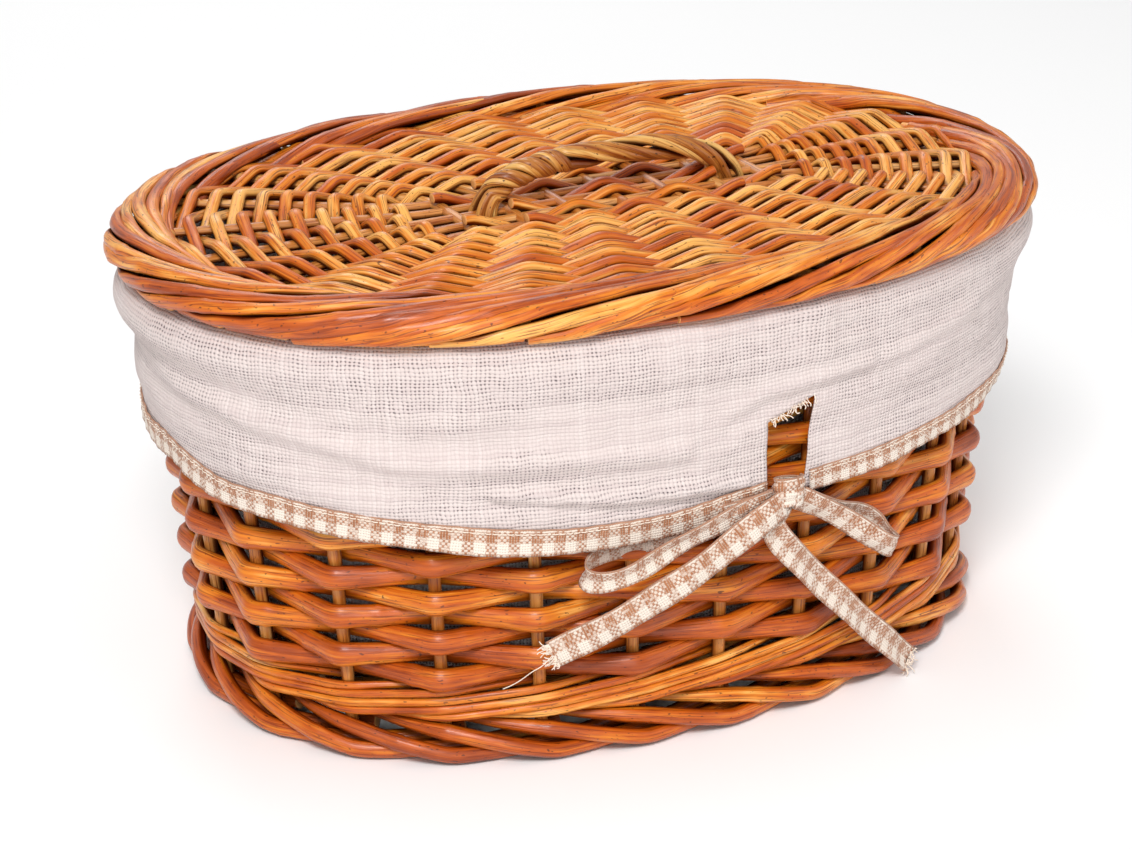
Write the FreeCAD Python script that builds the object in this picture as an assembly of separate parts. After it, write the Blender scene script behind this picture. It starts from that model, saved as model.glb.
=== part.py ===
import FreeCAD, Part
import math
import os
from bisect import bisect_left

# Oval lidded basket of woven willow with a linen liner.
# Millimetres. +X runs along the basket's length, -Y is the front, +Z is up.
# The origin is on the floor, under the middle of the lid.

Vector = FreeCAD.Vector

# ---- driving dimensions ----
lid_length = 420.0
lid_width = 290.0
foot_length = 370.0
foot_width = 268.0
rim_height = 188.0              # top of the rolled rim, without the cloth
oval_power = 2.25               # 2 is an ellipse, more is fuller at the corners
fit_gap = 0.4                   # clearance between neighbouring rods

# ---- wall ----
stake_count = 24
stake_radius = 2.9
weaver_radius = 3.7
row_pitch = 8.9
row_count = 16
first_row_z = 38.5
weaver_swing = 7.9              # clears the stakes on the oval's tightest turns too
wall_face = weaver_swing + weaver_radius    # how far the rows stand off the stakes
stake_lean_x = 15.0             # how much wider the stake oval's half-length is at the rim
stake_lean_y = 3.5

# ---- foot ----
foot_rod_radius = 3.4
foot_flat = 0.4                 # how much the lowest rods are worn flat
foot_low_z = foot_rod_radius - foot_flat
foot_high_z = 9.95
foot_outer_offset = 8.0
foot_upper_offset = 7.0
foot_inner_offset = -7.2
foot_end_gap = 1.3              # keeps a rod's end clear of the next one where they turn at a stake
stake_foot_z = 1.5
wale_radius = 1.8
wale_pitch = 4.1
wale_count = 4
first_wale_z = 18.6
wale_swing = stake_radius + wale_radius + 1.5 * fit_gap

# The stakes stand on this oval at floor level.
stake_half_x = foot_length / 2 - foot_outer_offset - foot_rod_radius
stake_half_y = foot_width / 2 - foot_outer_offset - foot_rod_radius

# ---- rim ----
rim_rod_radius = 2.8
rim_low_offset = 6.2
rim_high_offset = 3.2
rim_high_z = rim_height - rim_rod_radius
rim_low_z = rim_high_z - 5.4
stake_top_z = rim_high_z - 4.0

# ---- base ----
base_z = 25.0
base_half_x = 166.5
base_half_y = 114.0
base_long_radius = 1.8
base_cross_radius = 2.6
base_weaver_radius = 2.1
base_row_count = 12
base_rows_span = (0.08, 0.965)

# ---- lid ----
lid_z = 197.8                   # middle of the lid's thickness
lid_long_radius = 1.8
lid_cross_radius = 2.6
lid_weaver_radius = 2.1
lid_row_count = 20
lid_rows_span = (0.06, 0.925)   # first and last row, from the knees (0) to the edge (1)
lid_slath_shift = 12.0          # the stick cross sits off centre, towards +X
lid_border_radius = 3.6
lid_inner_radius = 2.5
lid_inner_offset = 10.2
lid_rib_end_offset = 9.3
lid_filling_tail = 3.6          # how far the filling rods run past the last cross sticks
ring_segments = 48

# ---- handle ----
handle_half_span = 60.8         # the roots lie midway between cross sticks
handle_top_z = 217.0
handle_lean = 0.07              # share by which the arch is higher on its left and lower on its right
handle_root_z = 192.5
handle_strand_radius = 2.8
handle_twist_radius = 3.1
handle_root_radius = 5.5
handle_turns = 3
handle_segments = 40
handle_power = 2.6

# ---- cloth ----
cloth_thickness = 1.2
liner_floor_z = 36.0
liner_offset = -12.0            # outer face of the side band, from the stake line
cuff_offset = 12.2              # inner face of the cuff
cuff_hem_z = 107.0
tape_thickness = 1.2
tape_width = 11.5
tape_offset = cuff_offset + cloth_thickness + 0.1
notch_x = (12.0, 32.0)
notch_top_z = 144.0
bow_x = 20.0
bow_z = 110.0


# ---- ovals ----
def oval_point(half_x, half_y, angle):
    """Point at a parameter angle on an oval, as (x, y)."""
    c = math.cos(angle)
    s = math.sin(angle)
    x = math.copysign(half_x * abs(c) ** (2 / oval_power), c)
    y = math.copysign(half_y * abs(s) ** (2 / oval_power), s)
    return x, y


def oval_normal(half_x, half_y, point):
    """Unit vector that points straight out of the oval at a point on it."""
    x, y = point
    out_x = math.copysign((abs(x) / half_x) ** (oval_power - 1) / half_x, x)
    out_y = math.copysign((abs(y) / half_y) ** (oval_power - 1) / half_y, y)
    length = math.hypot(out_x, out_y)
    return out_x / length, out_y / length


def even_angles(half_x, half_y, count, first=0.0):
    """Parameter angles of points spaced evenly along an oval, from the +X end."""
    steps = 3600
    angles = [2 * math.pi * i / steps for i in range(steps + 1)]
    points = [oval_point(half_x, half_y, angle) for angle in angles]
    lengths = [0.0]
    for start, end in zip(points, points[1:]):
        lengths.append(lengths[-1] + math.dist(start, end))
    wanted = [((first + k) % count) / count * lengths[-1] for k in range(count)]
    return [angles[bisect_left(lengths, length)] for length in wanted]


def wall_halves(z, offset=0.0):
    """Half-sizes of the wall's oval at a height, moved out from the stake line."""
    rise = z / rim_height
    return stake_half_x + stake_lean_x * rise + offset, stake_half_y + stake_lean_y * rise + offset


stake_angles = even_angles(*wall_halves(rim_height / 2), stake_count)


def wall_point(stake, z, offset):
    """Point beside a stake, moved out from the stake line by offset."""
    half_x, half_y = wall_halves(z)
    x, y = oval_point(half_x, half_y, stake_angles[stake % stake_count])
    out_x, out_y = oval_normal(half_x, half_y, (x, y))
    return Vector(x + out_x * offset, y + out_y * offset, z)


def front_point(x, z, offset):
    """Point on the front of the wall's oval at a given x."""
    half_x, half_y = wall_halves(z, offset)
    return Vector(x, -half_y * (1 - (abs(x) / half_x) ** oval_power) ** (1 / oval_power), z)


# ---- solids ----
def sweep(points, profile):
    """Solid of one section along straight runs with mitred corners."""
    path = Part.makePolygon(points)
    return path.makePipeShell([profile], True, False, 1)


def rod(points, radius):
    direction = points[1] - points[0]
    return sweep(points, Part.Wire(Part.Circle(points[0], direction, radius).toShape()))


def open_turn(points, reach=0.8):
    """Closed loop of points made into one open turn that stops short of its start."""
    last, first = points[-1], points[0]
    return points + [last + (first - last) * reach]


def ring(half_x, half_y, z, radius):
    """Rod bent once round an oval."""
    angles = even_angles(half_x, half_y, ring_segments)
    points = [Vector(*oval_point(half_x, half_y, angle), z) for angle in angles]
    return rod(open_turn(points, 0.97), radius)


def wall_ring(z, offset, radius):
    return ring(*wall_halves(z, offset), z, radius)


def oval_prism(low_z, high_z, offset):
    """Solid filling the wall's leaning oval between two heights."""
    wires = []
    for z in (low_z, high_z):
        half_x, half_y = wall_halves(z, offset)
        angles = even_angles(half_x, half_y, ring_segments)
        curve = Part.BSplineCurve()
        points = [Vector(*oval_point(half_x, half_y, angle), z) for angle in angles]
        curve.interpolate(Points=points, PeriodicFlag=True)
        wires.append(Part.Wire(curve.toShape()))
    return Part.makeLoft(wires, True, True)


def save(name, solids):
    shape = solids[0] if len(solids) == 1 else Part.makeCompound(solids)
    shape.exportStep("parts/" + name + ".step")


# ---- wall of the basket ----
def woven_row(z, radius, swing, start, side):
    """One rod round the wall; side(stake) is +1 outside that stake and -1 inside."""
    stakes = range(start, start + stake_count)
    return rod(open_turn([wall_point(stake, z, side(stake) * swing) for stake in stakes]), radius)


def make_stakes():
    stakes = []
    for stake in range(stake_count):
        ends = [wall_point(stake, stake_foot_z, 0), wall_point(stake, stake_top_z, 0)]
        stakes.append(rod(ends, stake_radius))
    save("side_stakes", stakes)


def make_rows():
    for row in range(row_count):
        def side(stake):
            return 1 if (stake + row) % 2 else -1
        start = 7 * row                 # the ends lie inside a stake, spread round the wall
        z = first_row_z + row_pitch * row
        save("side_weaver_%02d" % (row + 1), [woven_row(z, weaver_radius, weaver_swing, start, side)])


def foot_rods(z, offset):
    """Rods end to end round the foot, each straight from one stake to the next."""
    corners = [wall_point(stake, z, offset) for stake in range(stake_count + 1)]
    rods = []
    for start, end in zip(corners, corners[1:]):
        gap = (end - start).normalize() * foot_end_gap
        rods.append(rod([start + gap, end - gap], foot_rod_radius))
    return rods


def make_foot():
    floor = Part.makeBox(2 * lid_length, 2 * lid_width, 20, Vector(-lid_length, -lid_width, -20))
    for name, offset in (("outer", foot_outer_offset), ("inner", foot_inner_offset)):
        save("foot_rods_low_" + name, [low.cut(floor).Solids[0] for low in foot_rods(foot_low_z, offset)])
    for name, offset in (("outer", foot_upper_offset), ("inner", foot_inner_offset)):
        save("foot_rods_high_" + name, foot_rods(foot_high_z, offset))
    wale = []
    for strand in range(wale_count):
        def side(stake):
            return -1 if (stake - strand) % wale_count == 0 else 1
        z = first_wale_z + wale_pitch * strand
        wale.append(woven_row(z, wale_radius, wale_swing, strand, side))
    save("foot_wale", wale)


def make_rim():
    for name, out in (("outer", 1), ("inner", -1)):
        save("rim_rod_low_" + name, [wall_ring(rim_low_z, out * rim_low_offset, rim_rod_radius)])
        save("rim_rod_high_" + name, [wall_ring(rim_high_z, out * rim_high_offset, rim_rod_radius)])


# ---- flat woven discs: the base and the lid ----
class Disc:
    """Oval disc woven on long sticks that pierce thicker cross sticks.

    The sticks run straight through the middle, bend at a knee and fan out to the edge.
    Each end of a stick is one rib, and the ribs are numbered round from the +X end.
    """

    def __init__(self, half_x, half_y, z, long_count, cross_count, knee_x, shift=0.0):
        stick_gap = 11.0
        knee_gap = 13.0                 # from the last cross stick to the long sticks' knees
        spread = stick_gap * (long_count - 1) / 2
        reach = knee_x - knee_gap
        knee_y = spread + 3.5
        long_y = [stick_gap * k - spread for k in range(long_count)]
        cross_x = [reach - 2 * reach * k / (cross_count - 1) for k in range(cross_count)]
        knees = [(knee_x, y) for y in long_y] + [(x, knee_y) for x in cross_x]
        knees += [(-knee_x, -y) for y in long_y] + [(-x, -knee_y) for x in cross_x]
        self.knees = [Vector(x + shift, y, z) for x, y in knees]
        self.cross_x = [x + shift for x in cross_x]
        outer_y = knee_y + 1.0          # just past the knees, beside the outermost long sticks
        self.filling_y = [-outer_y] + [y + stick_gap / 2 for y in long_y[:-1]] + [outer_y]
        self.count = len(knees)
        self.long_count = long_count
        angles = even_angles(half_x, half_y, self.count, -(long_count - 1) / 2)
        self.edge = [Vector(*oval_point(half_x, half_y, angle), z) for angle in angles]

    def stick(self, rib, far_rib, radius):
        points = [self.edge[rib], self.knees[rib], self.knees[far_rib], self.edge[far_rib]]
        return rod(points, radius)

    def long_sticks(self, radius):
        last = self.count // 2 + self.long_count - 1
        return [self.stick(rib, last - rib, radius) for rib in range(self.long_count)]

    def cross_sticks(self, radius, slit_radius):
        """The thicker sticks, each pierced by every long stick."""
        slits = self.long_sticks(slit_radius)
        last = self.count - 1 + self.long_count
        ribs = range(self.long_count, self.count // 2)
        return [self.stick(rib, last - rib, radius).cut(slits).Solids[0] for rib in ribs]

    def row(self, fraction, row, clearance, radius):
        """One rod round the disc, over and under the ribs in turn."""
        ribs = range(5 * row, 5 * row + self.count)     # the ends lie under a rib, spread round
        flat = [self.knees[rib % self.count] * (1 - fraction) + self.edge[rib % self.count] * fraction
                for rib in ribs]
        run = sum(a.distanceToPoint(b) for a, b in zip(flat, flat[1:])) / (self.count - 1)
        # a steep run passes closer to the rib than its peak does, so short runs swing higher
        swing = clearance * run / math.sqrt(run ** 2 - 4 * clearance ** 2)
        heights = [swing if (rib + row) % 2 else -swing for rib in ribs]
        return rod(open_turn([point + Vector(0, 0, height) for point, height in zip(flat, heights)]), radius)

    def filling(self, clearance, tail, radius):
        """Rods beside the long sticks, passing over and under the cross sticks in turn.

        The second rod from each side reaches the last cross sticks. The others stop one stick
        sooner: the outermost at the corners of the first row, the rest at the handle's roots.
        """
        z = self.knees[0].z
        rods = []
        for number, y in enumerate(self.filling_y):
            from_side = min(number, len(self.filling_y) - 1 - number)
            crossed = list(enumerate(self.cross_x))
            if from_side != 1:
                crossed = crossed[1:-1]
            points = []
            for place, x in crossed:
                height = -clearance if (place + from_side) % 2 == 0 else clearance
                points.append(Vector(x, y, z + height))
            tuck = Vector(tail if from_side < 2 else tail / 4, 0, 0)
            start = points[0] + tuck
            end = points[-1] - tuck
            rods.append(rod([start] + points + [end], radius))
        return rods

    def rows(self, span, row_count, clearance, radius):
        first, last = span
        fractions = [first + (last - first) * row / (row_count - 1) for row in range(row_count)]
        return [self.row(fraction, row, clearance, radius) for row, fraction in enumerate(fractions)]


def make_base():
    disc = Disc(base_half_x, base_half_y, base_z, long_count=4, cross_count=8, knee_x=80.0)
    save("base_long_sticks", disc.long_sticks(base_long_radius))
    save("base_cross_sticks", disc.cross_sticks(base_cross_radius, base_long_radius + 0.05))
    clearance = base_cross_radius + base_weaver_radius + fit_gap
    save("base_weave", disc.rows(base_rows_span, base_row_count, clearance, base_weaver_radius))


def make_lid():
    half_x = lid_length / 2
    half_y = lid_width / 2
    end = lid_rib_end_offset
    disc = Disc(half_x - end, half_y - end, lid_z, 5, 7, knee_x=86.0, shift=lid_slath_shift)
    save("lid_long_sticks", disc.long_sticks(lid_long_radius))
    save("lid_cross_sticks", disc.cross_sticks(lid_cross_radius, lid_long_radius + 0.05))
    clearance = lid_cross_radius + lid_weaver_radius + fit_gap
    save("lid_filling_rods", disc.filling(clearance, lid_filling_tail, lid_weaver_radius))
    rods = disc.rows(lid_rows_span, lid_row_count, clearance, lid_weaver_radius)
    for pair in range(lid_row_count // 2):
        save("lid_weave_%02d" % (pair + 1), rods[2 * pair:2 * pair + 2])
    outer = []
    inner = []
    for up in (1, -1):
        z = lid_z + up * (lid_border_radius + fit_gap / 4)
        offset = lid_border_radius
        outer.append(ring(half_x - offset, half_y - offset, z, lid_border_radius))
        z = lid_z + up * (lid_cross_radius + lid_inner_radius + fit_gap / 2)
        offset = lid_inner_offset
        inner.append(ring(half_x - offset, half_y - offset, z, lid_inner_radius))
    save("lid_border_outer", outer)
    save("lid_border_inner", inner)


def make_handle():
    """Two strands twisted together in a low arch, each root beside the middle long stick."""
    rise = handle_top_z - handle_root_z
    for name, start in (("a", 0.0), ("b", math.pi)):
        points = []
        for k in range(handle_segments + 1):
            along = k / handle_segments
            angle = math.pi * (1 - along)
            c = math.cos(angle)
            s = math.sin(angle)
            x = math.copysign(handle_half_span * abs(c) ** (2 / handle_power), c)
            height = rise * abs(s) ** (2 / handle_power) * (1 - handle_lean * c)
            twist = start + 2 * math.pi * handle_turns * min(1, max(0, (along - 0.1) / 0.8))
            flare = min(1, max(0, 2 - min(along, 1 - along) / 0.1))
            radius = handle_twist_radius + (handle_root_radius - handle_twist_radius) * flare
            lift = radius * math.sin(twist)
            points.append(Vector(lid_slath_shift + x + lift * c, radius * math.cos(twist),
                                 handle_root_z + height + lift * s))
        save("lid_handle_strand_" + name, [rod(points, handle_strand_radius)])


# ---- cloth ----
def notch():
    """Block that cuts the slit in the front of the cuff and of its tape."""
    low, high = notch_x
    return Part.makeBox(high - low, lid_width, notch_top_z, Vector(low, -lid_width, 0))


def make_liner():
    inner = liner_offset - cloth_thickness
    top = rim_height + 0.3
    floor_top = liner_floor_z + cloth_thickness
    save("liner_bottom", [oval_prism(liner_floor_z, floor_top, inner - 0.1)])
    side = oval_prism(liner_floor_z, top, liner_offset).cut(oval_prism(liner_floor_z - 1, top + 1, inner))
    save("liner_side", [side.Solids[0]])
    cuff = oval_prism(cuff_hem_z, top + cloth_thickness, cuff_offset + cloth_thickness)
    cuff = cuff.cut(oval_prism(cuff_hem_z - 1, top, cuff_offset))
    cuff = cuff.cut(oval_prism(cuff_hem_z - 1, top + 5, inner))
    save("liner_cuff", [cuff.cut(notch()).Solids[0]])
    tape = oval_prism(cuff_hem_z - 1, cuff_hem_z + tape_width - 1, tape_offset + tape_thickness)
    tape = tape.cut(oval_prism(cuff_hem_z - 2, cuff_hem_z + tape_width, tape_offset))
    save("hem_tape", [tape.cut(notch()).Solids[0]])


def tape_run(stops, offset, thickness):
    """Flat tape along the front of the basket through (x, z) stops, offset from the stakes."""
    points = [front_point(x, z, offset) for x, z in stops]
    along = (points[1] - points[0]).normalize()
    out = Vector(0, -1, 0)
    across = along.cross(out).normalize()
    out = across.cross(along)
    corners = []
    for wide, deep in ((1, 1), (1, -1), (-1, -1), (-1, 1), (1, 1)):
        corners.append(points[0] + across * (wide * tape_width / 2) + out * (deep * thickness / 2))
    return sweep(points, Part.makePolygon(corners))


def make_bow():
    """Knot over the notch, two loops against the wall and two tails in front of them."""
    knot_size = Vector(13, 6.5, 13)
    knot_offset = tape_offset + tape_thickness + 0.4
    corner = front_point(bow_x, bow_z, knot_offset) - Vector(knot_size.x / 2, knot_size.y, knot_size.z / 2)
    knot = Part.makeBox(*knot_size, corner)
    save("bow_knot", [knot.makeFillet(2.5, knot.Edges)])
    loop_offset = 16.8
    tail_offset = 19.2
    edge = knot_size.x / 2 + 4.0
    loop_left = [(bow_x - edge, bow_z), (-20, 100), (-46, 91), (-70, 84)]
    loop_right = [(bow_x + edge, bow_z - 3), (44, 95), (62, 84), (81, 75)]
    tail_left = [(bow_x - edge, bow_z - 7), (-20, 95), (-52, 74), (-86, 52)]
    tail_right = [(bow_x + 2, bow_z - 14), (36, 76), (64, 43), (93, 10)]
    save("bow_loop_left", [tape_run(loop_left, loop_offset, 2 * tape_thickness)])
    save("bow_loop_right", [tape_run(loop_right, loop_offset, 2 * tape_thickness)])
    save("bow_tail_left", [tape_run(tail_left, tail_offset, tape_thickness)])
    save("bow_tail_right", [tape_run(tail_right, tail_offset, tape_thickness)])


os.makedirs("parts", exist_ok=True)
make_foot()
make_base()
make_stakes()
make_rows()
make_rim()
make_liner()
make_bow()
make_lid()
make_handle()
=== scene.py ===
"""Oval willow basket with a woven lid, a linen liner and a gingham tape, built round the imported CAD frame."""
import math
import random

import bpy
import numpy as np
from mathutils import Matrix, Vector


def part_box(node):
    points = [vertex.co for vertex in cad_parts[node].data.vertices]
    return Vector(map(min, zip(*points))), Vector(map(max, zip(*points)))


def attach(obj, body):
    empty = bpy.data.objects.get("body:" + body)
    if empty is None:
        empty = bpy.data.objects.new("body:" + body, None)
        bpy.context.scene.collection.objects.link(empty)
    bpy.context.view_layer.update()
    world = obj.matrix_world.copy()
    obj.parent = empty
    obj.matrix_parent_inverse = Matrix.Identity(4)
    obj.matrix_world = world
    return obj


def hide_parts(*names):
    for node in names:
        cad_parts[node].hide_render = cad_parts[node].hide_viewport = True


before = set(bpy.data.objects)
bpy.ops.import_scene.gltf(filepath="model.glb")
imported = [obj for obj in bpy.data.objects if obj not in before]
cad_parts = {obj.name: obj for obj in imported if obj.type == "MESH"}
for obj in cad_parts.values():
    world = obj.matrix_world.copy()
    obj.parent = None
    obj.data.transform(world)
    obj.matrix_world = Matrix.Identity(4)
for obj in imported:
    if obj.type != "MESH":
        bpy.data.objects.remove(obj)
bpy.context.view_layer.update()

MM = 0.001
OVAL_POWER = 2.25                  # superellipse exponent of every oval in the basket
STAKES = 24
TAPE_WIDTH = 11.5 * MM

# ---- driving sizes, read from the frame ----
foot_low, foot_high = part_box("foot_rods_low_outer")
rim_low, rim_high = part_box("rim_rod_low_outer")
lid_low, lid_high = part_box("lid_border_outer")
FOOT_PROUD = 11.4 * MM             # how far the foot's outer rod stands off the stake line
RIM_PROUD = 9.0 * MM               # the same for the rim's outer rod
FOOT_HALF = np.array([foot_high.x - FOOT_PROUD, foot_high.y - FOOT_PROUD])
RIM_HALF = np.array([rim_high.x - RIM_PROUD, rim_high.y - RIM_PROUD])
FOOT_ROD_Z = (foot_low.z + foot_high.z) / 2
RIM_ROD_Z = (rim_low.z + rim_high.z) / 2
RIM_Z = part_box("rim_rod_high_outer")[1].z
LID_Z = (lid_low.z + lid_high.z) / 2
LID_HALF = np.array([lid_high.x, lid_high.y])
LID_SHIFT = 12.0 * MM              # the lid's stick cross sits off centre, towards +X
UP = (0.0, 0.0, 1.0)


# ================================================================ lines of points
def unit(vectors):
    """The same vectors with length one."""
    return vectors / np.linalg.norm(vectors, axis=-1, keepdims=True)


def distances(points):
    """Distance along a line of points, at each point."""
    return np.concatenate([[0], np.cumsum(np.linalg.norm(np.diff(points, axis=0), axis=1))])


def points_at(wanted, along, points):
    """Points on a line at the wanted distances; along is the distance at each of its own points."""
    return np.column_stack([np.interp(wanted, along, column) for column in points.T])


def evenly(points, count):
    """The same line with count points, evenly spaced."""
    along = distances(points)
    return points_at(np.linspace(0, along[-1], count), along, points)


def soften(values, width):
    """Running mean of width values under a bell-shaped window."""
    bell = np.hanning(width) / np.hanning(width).sum()
    return np.convolve(np.pad(values, width // 2, "edge"), bell, "valid")


def bulged(angle, power):
    """Points on a superellipse of half-size 1 at the angles of a circle's points."""
    turn = np.stack([np.cos(angle), np.sin(angle)], -1)
    return np.sign(turn) * np.abs(turn) ** (2 / power)


# ================================================================ outlines
class Oval:
    """Superellipse whose points are asked for by their share of the way round."""

    def __init__(self, half, power=OVAL_POWER):
        self.half = np.array(half, float)
        self.power = power
        self.angles = np.linspace(0, 2 * math.pi, 4097)
        along = distances(self.at_angle(self.angles))
        self.length = along[-1]
        self.shares = along / self.length

    def at_angle(self, angle):
        return self.half * bulged(angle, self.power)

    def angle(self, share):
        return np.interp(np.mod(share, 1.0), self.shares, self.angles)

    def normal(self, point, half=None):
        half = self.half if half is None else half
        out = np.sign(point) * (np.abs(point) / half) ** (self.power - 1) / half
        return unit(out)


def wall_half(z):
    """Half-sizes of the stake line's oval at a height."""
    rise = (np.asarray(z)[..., None] - FOOT_ROD_Z) / (RIM_ROD_Z - FOOT_ROD_Z)
    return FOOT_HALF + (RIM_HALF - FOOT_HALF) * rise


WALL = Oval(wall_half(RIM_Z / 2))


def wall(share, z, offset):
    """Points beside the wall: share of the way round from +X, height, distance out from the stake line."""
    share, z, offset = np.broadcast_arrays(*(np.asarray(v, float) for v in (share, z, offset)))
    half = wall_half(z)
    flat = half * bulged(WALL.angle(share), OVAL_POWER)
    flat = flat + WALL.normal(flat, half) * offset[..., None]
    return np.concatenate([flat, z[..., None]], -1)


def outward(path):
    """Level unit vectors that point away from the wall at points on or near it."""
    flat = WALL.normal(path[:, :2], wall_half(path[:, 2]))
    return np.concatenate([flat, np.zeros((len(path), 1))], 1)


def share_at(x):
    """Share of the way round at which the front of the wall has this x."""
    shares = np.linspace(0.5, 1.0, 2001)
    return np.interp(x, wall(shares, RIM_Z / 2, 0)[:, 0], shares)


# ================================================================ rods
def wobble(along, rng, size, waves=4, shortest=0.02, longest=0.2):
    """Smooth random wander along a rod, worked from its distance along."""
    total = np.zeros_like(along)
    for _ in range(waves):
        length = math.exp(rng.uniform(math.log(shortest), math.log(longest)))
        total += math.sqrt(length / longest) * np.sin(2 * math.pi * (along / length + rng.random()))
    return total * size / math.sqrt(waves)


def bend(corners, reach, step):
    """Rounds the corners of a chain of straight runs and divides it evenly."""
    corners = np.asarray(corners, float)
    points = [corners[0]]
    for before, corner, after in zip(corners, corners[1:], corners[2:]):
        into, out = corner - before, after - corner
        cut_in = min(reach, 0.45 * np.linalg.norm(into))
        cut_out = min(reach, 0.45 * np.linalg.norm(out))
        start = corner - into / np.linalg.norm(into) * cut_in
        end = corner + out / np.linalg.norm(out) * cut_out
        for t in np.linspace(0, 1, 6):
            points.append((1 - t) ** 2 * start + 2 * t * (1 - t) * corner + t ** 2 * end)
    points = np.array(points + [corners[-1]])
    return evenly(points, max(4, int(distances(points)[-1] / step)) + 1)


class Strands:
    """Gathers rods into one mesh, with the measures that the willow shader reads.

    grain is (distance along, distance round, a number per rod); tone is the rod's colour from
    0 to 1; cut is 1 on sawn ends; the fourth measure is 1 on the side that faces into the work,
    where the willow shader paints shade.
    """

    def __init__(self, seed):
        self.rng = random.Random(seed)
        self.points, self.faces = [], []
        self.measures = {"grain": [], "tone": [], "cut": [], "hollow": []}
        self.total = 0

    def _store(self, points, **measures):
        self.points.append(points)
        for name, values in measures.items():
            shape = (len(points), 3) if name == "grain" else len(points)
            self.measures[name].append(np.broadcast_to(values, shape))
        self.total += len(points)

    def add(self, path, out, wide, high, tone=None, sides=14, knots=True, taper=0.0, rough=0.03):
        """A rod along path. out points away from the work; high is its half-size that way, wide the other."""
        rng = self.rng
        path = np.asarray(path, float)
        count = len(path)
        out = np.broadcast_to(out, path.shape)
        along = distances(path)
        tangent = unit(np.gradient(path, axis=0))
        side = unit(np.cross(tangent, out))
        out = np.cross(side, tangent)
        swell = 1 + wobble(along, rng, rough, 5, 0.012, 0.12)
        if knots:
            place = rng.uniform(0.02, 0.09)
            while place < along[-1]:
                swell += 0.09 * np.exp(-((along - place) / 0.0022) ** 2)
                place += rng.uniform(0.05, 0.13)
        swell *= 1 - taper * along / along[-1]
        wide = np.broadcast_to(wide, (count,)) * swell
        high = np.broadcast_to(high, (count,)) * swell
        turn = 2 * math.pi * np.arange(sides) / sides
        facets = 1 + 0.025 * np.sin(3 * turn + rng.uniform(0, 6))
        facets += 0.02 * np.sin(5 * turn + rng.uniform(0, 6))
        c, s = np.cos(turn) * facets, np.sin(turn) * facets
        ring = (path[:, None] + side[:, None] * (wide[:, None] * c)[..., None]
                + out[:, None] * (high[:, None] * s)[..., None])
        girth = math.pi * float(np.mean(wide) + np.mean(high))
        number = rng.random() * 50
        grain = np.stack(np.broadcast_arrays(along[:, None], turn / (2 * math.pi) * girth, number), -1)
        tone = rng.random() if tone is None else tone
        base = self.total
        # painted shade: a mask that is 1 on the side of the rod that faces into the work
        self._store(ring.reshape(-1, 3), grain=grain.reshape(-1, 3), tone=tone, cut=0.0,
                    hollow=np.tile(np.clip(0.5 - 0.75 * s, 0, 1), count))
        here = base + np.arange(count * sides).reshape(count, sides)
        right = np.roll(here, -1, axis=1)
        self.faces.append(np.stack([here[:-1], right[:-1], right[1:], here[1:]], -1).reshape(-1, 4))
        for end, outward in ((0, -1), (count - 1, 1)):
            self._cap(ring[end], path[end], tangent[end] * outward, number, tone, outward)

    def _cap(self, rim, centre, outward, number, tone, way):
        """Sawn end: a bevel, a flat and a middle point. It has its own vertices, so the edge stays crisp."""
        sides = len(rim)
        lift = outward * 0.0003
        rings = [rim, centre + (rim - centre) * 0.93 + lift, centre + (rim - centre) * 0.45 + lift]
        points = np.concatenate(rings + [(centre + lift)[None]])
        base = self.total
        radius = np.linalg.norm(points - centre, axis=1)
        self._store(points, grain=np.column_stack([radius, 0 * radius, 0 * radius + number]), tone=tone,
                    cut=np.arange(len(points)) >= sides, hollow=0.0)
        quads = []
        for k in range(2):
            a = base + k * sides + np.arange(sides)
            b = np.roll(a, -1)
            quads.append(np.stack([a, a + sides, b + sides, b], -1))
        a = base + 2 * sides + np.arange(sides)
        middle = np.full(sides, base + 3 * sides)
        quads.append(np.stack([a, middle, np.roll(a, -1), np.roll(a, -1)], -1))
        quads = np.concatenate(quads)
        self.faces.append(quads if way > 0 else quads[:, ::-1])

    def make(self, name, body, slot, material, *replaced):
        faces = [tuple(dict.fromkeys(face)) for face in np.concatenate(self.faces).tolist()]
        obj = make_mesh(name, np.concatenate(self.points), faces, material)
        for measure, parts in self.measures.items():
            set_attribute(obj, measure, np.concatenate(parts))
        place(obj, body, slot, *replaced)
        return obj


def make_mesh(name, points, faces, material):
    mesh = bpy.data.meshes.new(name)
    mesh.from_pydata(np.asarray(points).tolist(), [], faces)
    mesh.shade_smooth()
    mesh.materials.append(material)
    return add_object(name, mesh)


def add_object(name, data):
    obj = bpy.data.objects.new(name, data)
    bpy.context.scene.collection.objects.link(obj)
    return obj


def set_attribute(obj, name, values):
    """A measure per vertex: one number or three."""
    kind, field = ("FLOAT_VECTOR", "vector") if values.ndim == 2 else ("FLOAT", "value")
    attribute = obj.data.attributes.new(name, kind, "POINT")
    attribute.data.foreach_set(field, np.asarray(values, np.float32).ravel())


def place(obj, body, slot, *replaced):
    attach(obj, body)
    if replaced:
        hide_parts(*replaced)


# ================================================================ camera, floor and light
FLOOR = 6.0                        # half the floor's side, in metres


def make_camera():
    """Long lens from the front left, looking down on the lid."""
    azimuth, elevation, roll = -0.464, 0.397, -0.0075
    distance, height, aside = 1.26, 0.0908, -0.0084
    back = Vector((math.sin(azimuth) * math.cos(elevation), -math.cos(azimuth) * math.cos(elevation),
                   math.sin(elevation)))
    right = (-back).cross(Vector((0, 0, 1))).normalized()
    data = bpy.data.cameras.new("camera")
    data.lens = 89.05
    data.sensor_width = 36.0
    camera = add_object("camera", data)
    camera.location = Vector((0, 0, height)) + back * distance + right * aside
    turn = back.to_track_quat("Z", "Y").to_matrix()
    camera.rotation_euler = (turn @ Matrix.Rotation(roll, 3, "Z")).to_euler()
    bpy.context.scene.camera = camera


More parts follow.
